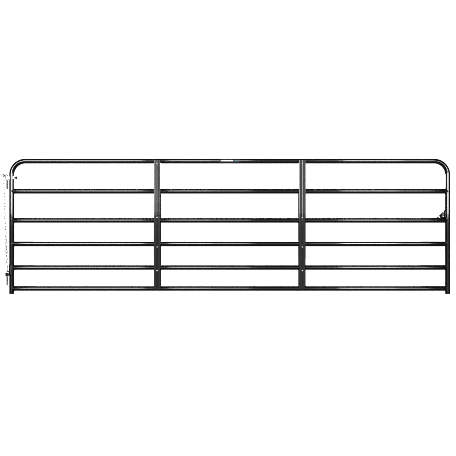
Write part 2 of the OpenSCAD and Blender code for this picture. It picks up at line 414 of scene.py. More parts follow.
class Route:
    """The middle line of a bent rod, tube or bead, as the placement of each ring round it."""

    def __init__(self, start: Matrix, radius: float) -> None:
        """Starts a route.

        Args:
            start: Placement of the first ring: the route runs along its Z and bends towards its X.
            radius: Radius of the rod.
        """
        self.places = [start]
        self.radii = [radius]

    def ahead(self, length: float, radius: float | None = None) -> "Route":
        """Runs straight on.

        Args:
            length: How far.
            radius: The radius at the end, or None where it stays the same.

        Returns:
            The route itself.
        """
        self.places.append(self.places[-1] @ Matrix.Translation((0, 0, length)))
        self.radii.append(self.radii[-1] if radius is None else radius)
        return self

    def bend(self, radius: float, angle: float, steps: int) -> "Route":
        """Bends towards the placement's X.

        Args:
            radius: Radius of the bend, to the middle of the rod.
            angle: How far it turns, in radians.
            steps: How many rings the bend has.

        Returns:
            The route itself.
        """
        centre = Matrix.Translation((radius, 0, 0))
        turn = centre @ Matrix.Rotation(angle / steps, 4, "Y") @ centre.inverted()
        for _ in range(steps):
            self.places.append(self.places[-1] @ turn)
            self.radii.append(self.radii[-1])
        return self

    def through(self, points: Sequence[Vector], radii: Sequence[float], closed: bool) -> "Route":
        """Replaces the route with one through given points, without twist.

        Args:
            points: The points, in order.
            radii: The radius at each point.
            closed: Whether the last point leads back to the first.

        Returns:
            The route itself.
        """
        count = len(points)
        heading = []
        for i in range(count):
            ahead = points[(i + 1) % count] if closed else points[min(i + 1, count - 1)]
            behind = points[i - 1] if closed else points[max(i - 1, 0)]
            heading.append((ahead - behind).normalized())
        turn = heading[0].to_track_quat("Z", "X")
        self.places = []
        for i, point in enumerate(points):
            if i:
                turn = heading[i - 1].rotation_difference(heading[i]) @ turn
            self.places.append(Matrix.Translation(point) @ turn.to_matrix().to_4x4())
        self.radii = list(radii)
        return self

    def rings(self) -> list[Matrix]:
        """The placement of a unit circle for each ring."""
        return [p @ Matrix.Diagonal((r, r, r, 1.0)) for p, r in zip(self.places, self.radii)]


class Shape:
    """One closed mesh while it is being shaped by bmesh operators."""

    def __init__(self) -> None:
        """Starts an empty mesh."""
        self.bm = bmesh.new()

    def sweep(self, route: Route, sides: int, closed: bool = False) -> "Shape":
        """Adds a round rod along a route.

        Args:
            route: The rod's rings.
            sides: How many sides it has.
            closed: Whether its end joins its start; otherwise both ends are capped.

        Returns:
            The shape itself.
        """
        rings = route.rings()
        first = self.circle(rings[0], sides)
        if closed:
            self.pull(rings + [rings[0]], first)
            return self.tidy()
        last = self.pull(rings, first)
        bmesh.ops.edgeloop_fill(self.bm, edges=first)
        bmesh.ops.edgeloop_fill(self.bm, edges=last)
        return self.tidy()

    def pipe(self, outer: Route, inner: Route, sides: int) -> "Shape":
        """Adds a tube with a wall, open at both ends.

        Args:
            outer: The rings of its outside.
            inner: The rings of its bore.
            sides: How many sides it has.

        Returns:
            The shape itself.
        """
        out, back = outer.rings(), inner.rings()[::-1]
        self.pull(out + back + [out[0]], self.circle(out[0], sides))
        return self.tidy()

    def circle(self, place: Matrix, sides: int) -> list[bmesh.types.BMEdge]:
        """Adds one ring.

        Args:
            place: The ring's placement, with its radius as the scale.
            sides: How many sides the ring has.

        Returns:
            The ring's edges.
        """
        made = bmesh.ops.create_circle(self.bm, segments=sides, radius=1.0, matrix=place)
        return list({edge for vert in made["verts"] for edge in vert.link_edges})

    def pull(self, rings: list[Matrix], ring: list[bmesh.types.BMEdge]) -> list[bmesh.types.BMEdge]:
        """Pulls a ring from place to place, leaving a wall behind it.

        Args:
            rings: The placements, of which the first is the ring's own.
            ring: The ring's edges.

        Returns:
            The last ring's edges.
        """
        for here, there in zip(rings, rings[1:]):
            made = bmesh.ops.extrude_edge_only(self.bm, edges=ring)["geom"]
            verts = [g for g in made if isinstance(g, bmesh.types.BMVert)]
            fresh = set(verts)
            ring = [
                g for g in made
                if isinstance(g, bmesh.types.BMEdge) and g.verts[0] in fresh and g.verts[1] in fresh
            ]
            bmesh.ops.transform(self.bm, matrix=there @ here.inverted(), verts=verts)
        return ring

    def line(self, points: Iterable[Sequence[float]], closed: bool) -> list[bmesh.types.BMEdge]:
        """Adds a few points joined in a line.

        Args:
            points: The points.
            closed: Whether the last joins the first.

        Returns:
            The line's edges.
        """
        verts = [self.bm.verts.new(point) for point in points]
        pairs = list(zip(verts, verts[1:])) + ([(verts[-1], verts[0])] if closed else [])
        return [self.bm.edges.new(pair) for pair in pairs]

    def lathe(self, outline: Iterable[tuple[float, float]], sides: int, angle: float = tau) -> "Shape":
        """Adds a solid turned round the Z axis.

        Args:
            outline: Its closed section, as distance from the axis and height.
            sides: How many steps the turn has.
            angle: How far the section is turned; less than a full turn starts at +X, and has flat ends.

        Returns:
            The shape itself.
        """
        edges = self.line([(r, 0.0, z) for r, z in outline], True)
        verts = list({v for e in edges for v in e.verts})
        full = angle >= WHOLE_TURN
        geometry = verts + edges
        if not full:
            geometry += bmesh.ops.contextual_create(self.bm, geom=edges)["faces"]
        bmesh.ops.spin(
            self.bm, geom=geometry, cent=(0, 0, 0), axis=UP, angle=angle, steps=sides, use_merge=full
        )
        return self.tidy()

    def sleeve(
        self, inner: float, outer: float, tall: float, sides: int = 64, angle: float = tau
    ) -> "Shape":
        """Adds a straight tube that stands on the XY plane, or a part of its round.

        Args:
            inner: Radius of its bore.
            outer: Radius of its outside.
            tall: Its length along Z.
            sides: How many steps its round has.
            angle: How far round it goes from +X.

        Returns:
            The shape itself.
        """
        return self.lathe([(inner, 0), (outer, 0), (outer, tall), (inner, tall)], sides, angle)

    def slab(self, outline: Iterable[tuple[float, float]], height: float) -> "Shape":
        """Adds a flat piece.

        Args:
            outline: Its closed outline in the XY plane.
            height: Its thickness along Z.

        Returns:
            The shape itself.
        """
        edges = self.line([(x, y, 0.0) for x, y in outline], True)
        faces = bmesh.ops.contextual_create(self.bm, geom=edges)["faces"]
        made = bmesh.ops.extrude_face_region(self.bm, geom=faces, use_keep_orig=True)["geom"]
        verts = [g for g in made if isinstance(g, bmesh.types.BMVert)]
        bmesh.ops.translate(self.bm, verts=verts, vec=(0, 0, height))
        return self.tidy()

    def rod(self, radius: float, length: float, sides: int = 48) -> "Shape":
        """Adds a round bar along Z, its middle at the origin.

        Args:
            radius: Its radius.
            length: Its length.
            sides: How many sides it has.

        Returns:
            The shape itself.
        """
        bmesh.ops.create_cone(
            self.bm, cap_ends=True, segments=sides, radius1=radius, radius2=radius, depth=length
        )
        return self

    def thread(
        self, crest: float, root: float, pitch: float, foot: float, top: float, steps: int = 28
    ) -> "Shape":
        """Adds a screw thread round the Z axis, cut flat at both ends.

        Args:
            crest: Radius to the top of the thread.
            root: Radius to the bottom of the thread.
            pitch: Distance from one turn to the next.
            foot: Height of its lower end.
            top: Height of its upper end.
            steps: How many steps each turn has.

        Returns:
            The shape itself.
        """
        # The turns reach past both ends, and the flat cuts take off what is over.
        turns = int((top - foot) / pitch) + 3
        low = foot - 1.5 * pitch
        ridge = [(root, 0.0), (root, 0.18), (crest, 0.52), (crest, 0.66), (root, 1.0)]
        edges = self.line([(r, 0.0, low + share * pitch) for r, share in ridge], False)
        verts = list({v for e in edges for v in e.verts})
        bmesh.ops.spin(
            self.bm, geom=verts + edges, cent=(0, 0, 0), axis=UP, dvec=(0, 0, pitch / steps),
            angle=tau * turns, steps=steps * turns,
        )
        bmesh.ops.remove_doubles(self.bm, verts=self.bm.verts, dist=THREAD_JOIN)
        for height, side in ((foot, -1.0), (top, 1.0)):
            cut = bmesh.ops.bisect_plane(
                self.bm, geom=self.bm.verts[:] + self.bm.edges[:] + self.bm.faces[:],
                plane_co=(0, 0, height), plane_no=(0, 0, side), clear_outer=True,
            )["geom_cut"]
            rim = [g for g in cut if isinstance(g, bmesh.types.BMEdge)]
            bmesh.ops.holes_fill(self.bm, edges=rim, sides=0)
        return self.tidy()

    def tidy(self) -> "Shape":
        """Merges doubled points and turns the faces outwards.

        Returns:
            The shape itself.
        """
        bmesh.ops.remove_doubles(self.bm, verts=self.bm.verts, dist=SAME_SPOT)
        bmesh.ops.recalc_face_normals(self.bm, faces=self.bm.faces)
        return self

    def move(self, placement: Matrix) -> "Shape":
        """Places everything made so far.

        Args:
            placement: Where the shape's origin and axes go.

        Returns:
            The shape itself.
        """
        bmesh.ops.transform(self.bm, matrix=placement, verts=self.bm.verts)
        if placement.determinant() < 0:
            bmesh.ops.reverse_faces(self.bm, faces=self.bm.faces)
        return self

    def shift(self, change: Callable[[Vector], Vector]) -> "Shape":
        """Moves each point by a rule.

        Args:
            change: Gives a point's new place from its old one.

        Returns:
            The shape itself.
        """
        for vert in self.bm.verts:
            vert.co = change(vert.co)
        return self

    def bevel(self, width: float, segments: int = 2, sharper_than: float = radians(35)) -> "Shape":
        """Breaks the sharp edges.

        Args:
            width: Width of the bevel.
            segments: How many steps it has.
            sharper_than: Edges whose faces turn by more than this are bevelled.

        Returns:
            The shape itself.
        """
        folds = [e for e in self.bm.edges if len(e.link_faces) == 2]
        bmesh.ops.bevel(
            self.bm, geom=[e for e in folds if e.calc_face_angle() > sharper_than], offset=width,
            offset_type="OFFSET", affect="EDGES", segments=segments, profile=0.5, material=-1,
            clamp_overlap=True,
        )
        return self

    def cut(self, tool: "Shape", leave: Cut = Cut.AWAY) -> "Shape":
        """Cuts this shape with another, which is used up.

        Args:
            tool: The other closed shape.
            leave: Whether the shared part goes, or is what is left.

        Returns:
            The shape itself.
        """
        body, knife = (bpy.data.objects.new("cut", s.mesh("cut")) for s in (self, tool))
        for item in (body, knife):
            bpy.context.scene.collection.objects.link(item)
        cutter = body.modifiers.new("cut", "BOOLEAN")
        cutter.operation = leave.value
        cutter.solver = "EXACT"
        cutter.object = knife
        bpy.context.view_layer.update()
        done = body.evaluated_get(bpy.context.evaluated_depsgraph_get())
        result = bpy.data.meshes.new_from_object(done)
        self.bm = bmesh.new()
        self.bm.from_mesh(result)
        for item in (body, knife):
            spent = item.data
            bpy.data.objects.remove(item)
            bpy.data.meshes.remove(spent)
        bpy.data.meshes.remove(result)
        return self

    def add(self, other: "Shape") -> "Shape":
        """Takes in another shape's mesh.

        Args:
            other: The other shape, which is used up.

        Returns:
            The shape itself.
        """
        spent = other.mesh("joined")
        self.bm.from_mesh(spent)
        bpy.data.meshes.remove(spent)
        return self

    def mesh(self, name: str) -> bpy.types.Mesh:
        """Ends the shape.

        Args:
            name: The mesh's name.

        Returns:
            The finished mesh; the shape is used up.
        """
        made = bpy.data.meshes.new(name)
        self.bm.to_mesh(made)
        self.bm.free()
        return made


def at(x: float, y: float, z: float, *turns: tuple[float, str]) -> Matrix:
    """A placement.

    Args:
        x: Where the shape's origin goes along the gate.
        y: Where it goes towards the back.
        z: How high it goes.
        turns: Turns about the axes before that, each in degrees with its axis, the last one first.

    Returns:
        The placement as a matrix.
    """
    made = Matrix.Translation((x, y, z))
    for angle, axis in turns:
        made = made @ Matrix.Rotation(radians(angle), 4, axis)
    return made


@dataclass
class Bench:
    """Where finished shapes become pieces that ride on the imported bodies."""

    finishes: Finishes
    made: int = 0

    def finish(
        self, shape: Shape, name: str, body: str, material: bpy.types.Material,
        stands_for: Sequence[str] = (), sharp: float = 38.0,
    ) -> bpy.types.Object:
        """Turns a shape into a piece.

        Args:
            shape: The shape, which is used up.
            name: The piece's name.
            body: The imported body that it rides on.
            material: Its finish.
            stands_for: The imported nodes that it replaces.
            sharp: Edges whose faces turn by more than this many degrees stay sharp.

        Returns:
            The piece.
        """
        mesh = shape.mesh(name)
        mesh.polygons.foreach_set("use_smooth", [True] * len(mesh.polygons))
        mesh.set_sharp_from_angle(angle=radians(sharp))
        mesh.materials.append(material)
        piece = bpy.data.objects.new(name, mesh)
        bpy.context.scene.collection.objects.link(piece)
        even = piece.modifiers.new("even_shading", "WEIGHTED_NORMAL")
        even.keep_sharp = True
        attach(piece, body)
        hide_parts(*stands_for)
        self.made += 1
        LOG.info("%s: %d faces on %s", name, len(mesh.polygons), body)
        return piece


# ---------------------------------------------------------------- the gate


def middle_of(node: str) -> tuple[float, float, float]:
    """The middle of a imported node's box."""
    low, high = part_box(node)
    return (low.x + high.x) / 2, (low.y + high.y) / 2, (low.z + high.z) / 2


@dataclass(frozen=True)
class Places:
    """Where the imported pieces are, in metres.

    The fields are the frame tube's radius, the middles of the left and right posts along the gate,
    the depth of the tubes' middle, the heights of the top rail and of the others, the line that the
    hinges turn on, the heights of the two eyes, and then the hinge rod's radius, the tube's wall and
    the gap that stands for a weld.
    """

    tube: float
    left: float
    right: float
    deep: float
    top: float
    rails: dict[str, float]
    hinge: float
    upper_eye: float
    lower_eye: float
    rod: float = 7.94 * MM
    wall: float = 0.9 * MM
    gap: float = 0.3 * MM

    @classmethod
    def from_frame(cls) -> "Places":
        """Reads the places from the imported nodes' boxes.

        Returns:
            The places.
        """
        low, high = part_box("frame_tube")
        tube = (high.y - low.y) / 2
        rails = ("rail_2", "rail_3", "rail_4", "rail_5", "bottom_rail")
        hinge, _, lower_eye = middle_of("lower_hinge_barrel")
        return cls(
            tube=tube, left=low.x + tube, right=high.x - tube, deep=(low.y + high.y) / 2,
            top=high.z - tube, rails={name: middle_of(name)[2] for name in rails}, hinge=hinge,
            upper_eye=middle_of("upper_eye_bolt")[2], lower_eye=lower_eye,
        )


@dataclass
class Weld:
    """A rippled weld bead under the coat."""

    radius: float = 2.5 * MM
    ripple: float = 2.4 * MM
    swell: float = 0.12
    end_size: float = 0.35
    end_growth: float = 9.0
    rings_each: int = 4
    fewest_rings: int = 6
    sides: int = 8

    def along(self, points: Callable[[float], Vector], length: float, closed: bool) -> Shape:
        """Makes a bead.

        Args:
            points: Gives the bead's middle line from a share of its length.
            length: Its rough length.
            closed: Whether it ends where it starts.

        Returns:
            The bead.
        """
        count = max(self.fewest_rings, int(length / self.ripple * self.rings_each))
        line, radii = [], []
        for i in range(count):
            share = i / (count if closed else count - 1)
            wave = abs(sin(pi * i / self.rings_each))
            ends = 1.0 if closed else min(1.0, self.end_size + self.end_growth * min(share, 1 - share))
            line.append(points(share))
            radii.append(self.radius * ends * (1 - self.swell + self.swell * wave))
        return Shape().sweep(Route(Matrix(), 1.0).through(line, radii, closed), self.sides, closed)

    def straight(self, start: Sequence[float], end: Sequence[float]) -> Shape:
        """A bead from one point to another."""
        first, last = Vector(start), Vector(end)
        return self.along(lambda share: first.lerp(last, share), (last - first).length, False)


@dataclass
class GateFrame:
    """The bent frame tube and the five rails coped to its posts, with their welds."""

    places: Places
    bend: float = 127 * MM
    bend_rings: int = 28
    sides: int = 64
    bolt_room: float = 0.3 * MM
    foot_room: float = 0.01 * MM
    seam: float = 0.6 * MM
    seam_lift: float = 0.4 * MM

    def frame_route(self, radius: float) -> Route:
        """The route of the frame tube, from the left foot to the right one.

        Args:
            radius: Radius of the wall that follows it.

        Returns:
            The route.
        """
        p = self.places
        leg = p.top - self.bend - self.foot_room
        route = Route(at(p.left, p.deep, self.foot_room), radius)
        route.ahead(leg).bend(self.bend, pi / 2, self.bend_rings)
        route.ahead(p.right - p.left - 2 * self.bend)
        return route.bend(self.bend, pi / 2, self.bend_rings).ahead(leg)

    def frame(self) -> Shape:
        """Bends the frame tube and drills the eye bolt's hole through its left post.

        Returns:
            The tube.
        """
        p = self.places
        shape = Shape().pipe(self.frame_route(p.tube), self.frame_route(p.tube - p.wall), self.sides)
        hole = Shape().rod(p.rod + self.bolt_room, 4 * p.tube)
        return shape.cut(hole.move(at(p.left, p.deep, p.upper_eye, (90, "Y"))))

    def rail(self, height: float) -> Shape:
        """A rail between the posts, its ends coped to their round sides.

        Args:
            height: Height of its middle.

        Returns:
            The rail.
        """
        p = self.places
        shape = Shape().sleeve(p.tube - p.wall, p.tube, p.right - p.left, self.sides)
        shape.move(at(p.left, p.deep, height, (90, "Y")))
        reach = p.tube + p.gap

        def cope(point: Vector) -> Vector:
            """Brings a point at a rail's end onto the post's side.

            Args:
                point: The point.

            Returns:
                Its new place.
            """
            back = sqrt(reach ** 2 - (point.y - p.deep) ** 2)
            x = p.left + back if point.x < 0 else p.right - back
            return Vector((x, point.y, point.z))

        return shape.shift(cope)

    def rail_welds(self) -> Shape:
        """Lays a bead round each end of each rail, where it meets the post.

        Returns:
            The beads.
        """
        p = self.places
        shape = Shape()
        ring = p.tube + self.seam
        for height in p.rails.values():
            for post, side in ((p.left, 1.0), (p.right, -1.0)):
                def seam(
                    share: float, post: float = post, side: float = side, height: float = height
                ) -> Vector:
                    """Follows the corner between rail and post.

                    Args:
                        share: How far round the rail, from nought to one.
                        post: The post's middle along the gate.
                        side: 1 where the rail is on the right of the post, and -1 where it is on the left.
                        height: The rail's height.

                    Returns:
                        The point.
                    """
                    y, z = ring * sin(tau * share), ring * cos(tau * share)
                    x = post + side * sqrt((ring + self.seam_lift) ** 2 - y * y)
                    return Vector((x, p.deep + y, height + z))

                shape.add(Weld().along(seam, tau * ring, True))
        return shape

    def build(self, bench: Bench) -> None:
        """Makes and dresses the frame and rails.

        Args:
            bench: Where the pieces are finished.
        """
        coat = bench.finishes.coat
        bench.finish(self.frame(), "frame_pipe", "gate", coat, ["frame_tube"])
        for name, height in self.places.rails.items():
            bench.finish(self.rail(height), f"{name}_pipe", "gate", coat, [name])
        bench.finish(self.rail_welds(), "rail_welds", "gate", bench.finishes.weld, sharp=60)


@dataclass
class Stay:
    """An upright channel of folded sheet that every rail passes through."""

    places: Places
    node: str
    sheet: float = 1.9 * MM
    fold: float = 6 * MM
    fold_steps: int = 8
    groove: float = 3 * MM
    groove_tool: float = 5 * MM
    groove_steps: int = 5
    mirror_join: float = 0.01 * MM
    face_hole: float = 5 * MM
    punch: float = 16 * MM
    hole_room: float = 0.3 * MM
    hole_off: float = 5.5 * MM
    seam: float = 0.5 * MM
    seam_off: float = 0.3 * MM

    def channel(self) -> Shape:
        """Folds the sheet, before its holes are punched.

        Returns:
            The channel.
        """
        low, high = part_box(self.node)
        half = (high.x - low.x) / 2
        tool_y = low.y + self.groove - self.groove_tool
        lip = sqrt(self.groove_tool ** 2 - (self.groove_tool - self.groove) ** 2)
        shape = Shape()
        bm = shape.bm
        flange = shape.line([(half, high.y, 0), (half, low.y + self.fold, 0)], False)[0]
        centre = (half - self.fold, low.y + self.fold, 0)
        turned = bmesh.ops.spin(
            bm, geom=[flange.verts[1]], cent=centre, axis=UP, angle=-pi / 2, steps=self.fold_steps
        )
        last = next(g for g in turned["geom_last"] if isinstance(g, bmesh.types.BMVert))
        made = bmesh.ops.extrude_vert_indiv(bm, verts=[last])
        made["verts"][0].co = Vector((lip, low.y, 0))
        bmesh.ops.spin(
            bm, geom=made["verts"], cent=(0, tool_y, 0), axis=UP, angle=asin(lip / self.groove_tool),
            steps=self.groove_steps,
        )
        bmesh.ops.mirror(bm, geom=bm.verts[:] + bm.edges[:], axis="X", merge_dist=self.mirror_join)
        bmesh.ops.remove_doubles(bm, verts=bm.verts, dist=self.mirror_join / 10)
        wall = bmesh.ops.extrude_edge_only(bm, edges=bm.edges[:])["geom"]
        verts = [g for g in wall if isinstance(g, bmesh.types.BMVert)]
        bmesh.ops.translate(bm, verts=verts, vec=(0, 0, high.z - low.z))
        self.face_forward(bm)
        bmesh.ops.solidify(bm, geom=bm.faces[:], thickness=self.sheet)
        bmesh.ops.recalc_face_normals(bm, faces=bm.faces)
        return shape.move(at((low.x + high.x) / 2, 0, low.z))

    @staticmethod
    def face_forward(bm: bmesh.types.BMesh) -> None:
        """Turns the sheet's faces so that its outside looks out.

        Args:
            bm: The sheet, still without thickness.
        """
        bmesh.ops.recalc_face_normals(bm, faces=bm.faces)
        bm.normal_update()
        front = min(bm.faces, key=lambda f: f.calc_center_median().y)
        if front.normal.y > 0:
            bmesh.ops.reverse_faces(bm, faces=bm.faces)

    def punched(self) -> Shape:
        """Punches the channel: a hole for each rail, and round holes in its face beside some rails.

        Returns:
            The channel with its holes.
        """
        p = self.places
        low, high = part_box(self.node)
        middle = (low.x + high.x) / 2
        off = p.tube + self.hole_off
        rail_3, rail_4, rail_5 = (p.rails[name] for name in ("rail_3", "rail_4", "rail_5"))
        tools = Shape()
        for height in (p.top, *p.rails.values()):
            hole = Shape().rod(p.tube + self.hole_room, 2 * (high.x - low.x), 64)
            tools.add(hole.move(at(middle, p.deep, height, (90, "Y"))))
        for height in (p.top - off, rail_3 + off, rail_4 - off, rail_5 - off):
            hole = Shape().rod(self.face_hole, self.punch, 32)
            tools.add(hole.move(at(middle, low.y, height, (90, "X"))))
        return self.channel().cut(tools)

    def welds(self) -> Shape:
        """Lays a bead round each rail outside each flange.

        Returns:
            The beads.
        """
        p = self.places
        low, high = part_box(self.node)
        weld = Weld(radius=1.7 * MM, ripple=2.8 * MM)
        shape = Shape()
        ring = p.tube + self.seam
        for height in p.rails.values():
            for x in (low.x - self.seam_off, high.x + self.seam_off):
                def seam(share: float, x: float = x, height: float = height) -> Vector:
                    """A point of the corner between rail and flange."""
                    y, z = ring * sin(tau * share), ring * cos(tau * share)
                    return Vector((x, p.deep + y, height + z))

                shape.add(weld.along(seam, tau * ring, True))
        return shape

    def build(self, bench: Bench) -> None:
        """Makes and dresses the stay.

        Args:
            bench: Where the pieces are finished.
        """
        coat = bench.finishes.coat
        bench.finish(self.punched(), f"{self.node}_channel", "gate", coat, [self.node], 30)
        weld = bench.finishes.weld
        bench.finish(self.welds(), f"{self.node}_welds", "gate", weld, sharp=60)


@dataclass
class LatchPlate:
    """The three-cornered plate between the right post and the third rail."""

    places: Places
    hole: float = 7.5 * MM
    hole_x: float = 58.5 * MM
    hole_z: float = 10.5 * MM
    slot: float = 6.8 * MM
    slot_x: float = 20.9 * MM
    slot_eye: float = 5.7 * MM
    slot_eye_z: float = 15.8 * MM
    mouth: float = 15 * MM
    mouth_high: float = 12 * MM
    edge: float = 0.7 * MM
    bead: float = 2.2 * MM
    bead_off: float = 0.3 * MM
    bead_out: float = 0.2 * MM
    bead_near: float = 6 * MM
    bead_far: float = 8 * MM

    def plate(self) -> Shape:
        """Cuts the plate, with its round hole and the slot that grips the chain.

        Returns:
            The plate.
        """
        low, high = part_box("latch_plate")
        long, tall, thick = high.x - low.x, high.z - low.z, high.y - low.y
        shape = Shape().slab([(0, 0), (-long, 0), (0, tall)], thick).bevel(self.edge)
        round_holes = ((self.hole, self.hole_x, self.hole_z), (self.slot_eye, self.slot_x, self.slot_eye_z))
        for radius, x, z in round_holes:
            shape.cut(Shape().rod(radius, 3 * thick).move(at(-x, z, thick / 2)))
        mouth_z = tall * (1 - self.slot_x / long)
        for foot, top, wide in (
            (self.slot_eye_z, 2 * tall, self.slot),
            (mouth_z - self.mouth_high, mouth_z + self.mouth_high, self.mouth),
        ):
            outline = [(-self.slot / 2, foot), (self.slot / 2, foot), (wide / 2, top), (-wide / 2, top)]
            shape.cut(Shape().slab(outline, 3 * thick).move(at(-self.slot_x, 0, -thick)))
        return shape.tidy().move(at(high.x, high.y, low.z, (90, "X")))

    def welds(self) -> Shape:
        """Lays beads along the plate's two legs, front and back.

        Returns:
            The beads.
        """
        low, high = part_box("latch_plate")
        weld = Weld(radius=self.bead)
        foot, side = low.z - self.bead_out, high.x + self.bead_out
        shape = Shape()
        for y in (low.y - self.bead_off, high.y + self.bead_off):
            shape.add(weld.straight((low.x + self.bead_far, y, foot), (high.x - self.bead_near, y, foot)))
            shape.add(weld.straight((side, y, low.z + self.bead_near), (side, y, high.z - self.bead_far)))
        return shape

    def build(self, bench: Bench) -> None:
        """Makes and dresses the plate.

        Args:
            bench: Where the pieces are finished.
        """
        coat, black = bench.finishes.coat, Slot.BLACK_COAT
        bench.finish(self.plate(), "latch_corner", "gate", coat, ["latch_plate"], 28)
        bench.finish(self.welds(), "latch_welds", "gate", bench.finishes.weld, sharp=60)


@dataclass
class LowerHinge:
    """The half sleeve on the left post and the barrel that the lower hook turns in."""

    places: Places
    sleeve: float = 3.7 * MM
    wrap: float = 170.0
    wrap_steps: int = 44
    slope: float = 16.0
    barrel: float = 16.5 * MM
    bore: float = 8.04 * MM
    edge: float = 0.6 * MM
    edge_bead: float = 2.4 * MM
    edge_seam: float = 1.2 * MM
    edge_shift: float = 1.0 * MM
    edge_foot: float = 12 * MM
    edge_top: float = 3 * MM
    side_bead: float = 3.6 * MM
    side_room: float = 3.0 * MM
    side_foot: float = 3 * MM
    side_top: float = 2 * MM

    def saddle(self) -> Shape:
        """Shapes the half sleeve, its lower edge rising towards the gate.

        Returns:
            The sleeve.
        """
        p = self.places
        low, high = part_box("lower_hinge_saddle")
        inner = p.tube + p.gap
        outer = inner + self.sleeve
        tall = high.z - low.z
        shape = Shape().sleeve(inner, outer, tall, self.wrap_steps, radians(self.wrap))
        shape.move(at(0, 0, 0, (180 - self.wrap / 2, "Z")))
        rise = tan(radians(self.slope))

        def slant(point: Vector) -> Vector:
            """Lifts a point of the lower edge onto the slope."""
            return point if point.z > tall / 2 else Vector((point.x, point.y, (point.x + outer) * rise))

        shape.shift(slant).bevel(self.edge)
        return shape.move(at(p.left, p.deep, low.z))

    def barrel_tube(self) -> Shape:
        """Shapes the short upright tube.

        Returns:
            The barrel.
        """
        low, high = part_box("lower_hinge_barrel")
        shape = Shape().sleeve(self.bore, self.barrel, high.z - low.z)
        return shape.bevel(self.edge).move(at(self.places.hinge, self.places.deep, low.z))

    def welds(self) -> Shape:
        """Lays beads along the sleeve's two edges and either side of the barrel.

        Returns:
            The beads.
        """
        p = self.places
        low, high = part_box("lower_hinge_saddle")
        foot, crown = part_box("lower_hinge_barrel")
        angle = radians(180 - self.wrap / 2)
        seam = p.tube + self.edge_seam
        apart = p.left - p.hinge
        near, far = self.barrel + self.side_room, p.tube + p.gap + self.sleeve + self.side_room
        along = (apart ** 2 + near ** 2 - far ** 2) / (2 * apart)
        aside = sqrt(near ** 2 - along ** 2)
        edge, flank = Weld(radius=self.edge_bead), Weld(radius=self.side_bead)
        shape = Shape()
        for side in (-1.0, 1.0):
            x, y = p.left + seam * cos(angle) + self.edge_shift, p.deep + side * seam * sin(angle)
            shape.add(edge.straight((x, y, low.z + self.edge_foot), (x, y, high.z - self.edge_top)))
            x, y = p.hinge + along, p.deep + side * aside
            shape.add(flank.straight((x, y, foot.z + self.side_foot), (x, y, crown.z - self.side_top)))
        return shape

    def build(self, bench: Bench) -> None:
        """Makes and dresses the lower hinge.

        Args:
            bench: Where the pieces are finished.
        """
        coat, black = bench.finishes.coat, Slot.BLACK_COAT
        bench.finish(self.saddle(), "hinge_sleeve", "gate", coat, ["lower_hinge_saddle"], 30)
        bench.finish(self.barrel_tube(), "hinge_barrel", "gate", coat, ["lower_hinge_barrel"], 30)
        bench.finish(self.welds(), "hinge_welds", "gate", bench.finishes.weld, sharp=60)


